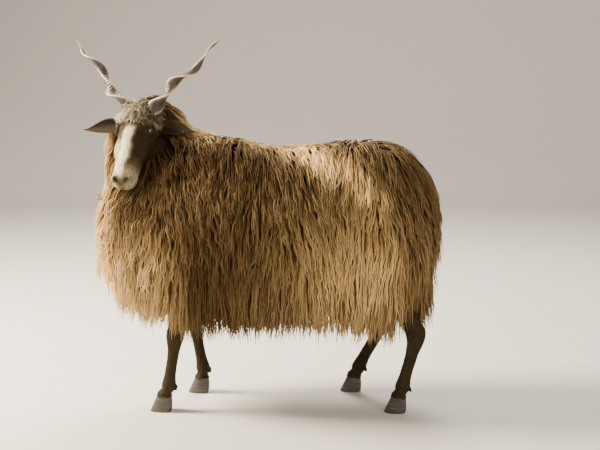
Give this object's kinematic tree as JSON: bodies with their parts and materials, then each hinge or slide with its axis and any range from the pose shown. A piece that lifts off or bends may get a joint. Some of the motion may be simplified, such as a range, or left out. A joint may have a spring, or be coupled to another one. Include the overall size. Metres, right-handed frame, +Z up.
{
  "type": "racka sheep",
  "caption": "Still, life-size model of a spiral-horned longwool ewe, standing with its head turned to its left.",
  "frame": {"origin": "middle of the whole model's box, on the floor under the hooves", "axes": "+X towards the tail (the body faces -X), +Y towards the ewe's right side, +Z up; the head is turned towards -Y"},
  "size_m": [0.9564, 0.4308, 0.9581],
  "materials": {
    "wool": "long wavy dark brown locks, bleached golden at the tips",
    "hide": "short black-brown hair, greyer on the muzzle",
    "horn": "ringed grey-brown horn with pale ridges",
    "hoof": "dark grey horn, dusty",
    "eye": "wet dark amber with a slit pupil"
  },
  "bodies": {
    "root": {"torso": "wool", "neck": "wool", "tail": "wool", "head": "hide", "ear_left": "hide", "ear_right": "hide", "eye_left": "eye", "eye_right": "eye", "horn_left": "horn", "horn_right": "horn", "leg_fore_left": "hide", "leg_fore_right": "hide", "leg_hind_left": "hide", "leg_hind_right": "hide", "leg_fore_left_claw_near": "hoof", "leg_fore_left_claw_off": "hoof", "leg_fore_right_claw_near": "hoof", "leg_fore_right_claw_off": "hoof", "leg_hind_left_claw_near": "hoof", "leg_hind_left_claw_off": "hoof", "leg_hind_right_claw_near": "hoof", "leg_hind_right_claw_off": "hoof"}
  },
  "joints": []
}
